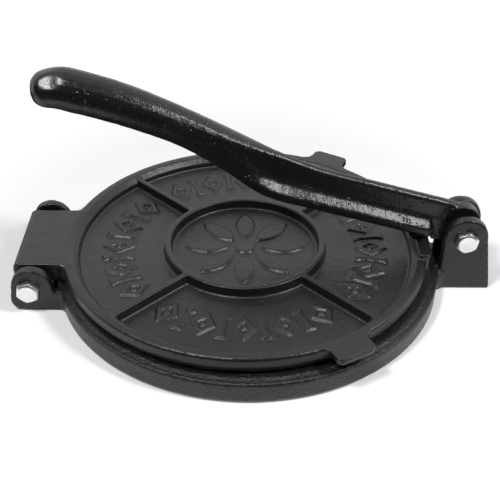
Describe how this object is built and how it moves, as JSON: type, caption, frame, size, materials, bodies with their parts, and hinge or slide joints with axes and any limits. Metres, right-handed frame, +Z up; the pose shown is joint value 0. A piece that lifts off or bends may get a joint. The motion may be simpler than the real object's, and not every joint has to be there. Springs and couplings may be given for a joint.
{
  "type": "tortilla press",
  "caption": "Cast-iron tortilla press: round ribbed base, hinged round top plate with raised ring, spokes and lifting tabs, and a long curved pressing lever on a pivot.",
  "frame": {"origin": "centre of the round base on the surface that the press stands on", "axes": "+X from the plate hinge towards the lever's pivot, the lever's grip points to -X; +Y away from the side with the bolt heads; +Z up. Both hinge axes run along Y."},
  "size_m": [0.2611, 0.21, 0.1244],
  "materials": {
    "iron_base": "black semi-gloss paint over a fine sand-cast surface",
    "iron_top": "black semi-gloss paint over a fine sand-cast surface",
    "iron_lever": "black semi-gloss paint over a sandy cast surface",
    "zinc": "bright zinc plate"
  },
  "bodies": {
    "base": {"base_plate": "iron_base", "hinge_bolt": "zinc", "hinge_washer": "zinc", "hinge_nut": "zinc", "lever_bolt": "zinc", "lever_washer": "zinc", "lever_nut": "zinc"},
    "top": {"top_plate": "iron_top"},
    "press_lever": {"lever": "iron_lever"}
  },
  "joints": [
    {"name": "lever_swing", "type": "hinge", "parent": "base", "child": "press_lever", "pos_m": [0.1172, 0, 0.0322], "axis": [0, 1, 0], "range_deg": [0, 165]},
    {"name": "top_plate_hinge", "type": "hinge", "parent": "base", "child": "top", "pos_m": [-0.1163, 0, 0.0138], "axis": [0, -1, 0], "range_deg": [0, 16.5]}
  ],
  "couplings": [
    {"joint": "top_plate_hinge", "follows": "lever_swing", "ratio": 0.1}
  ]
}
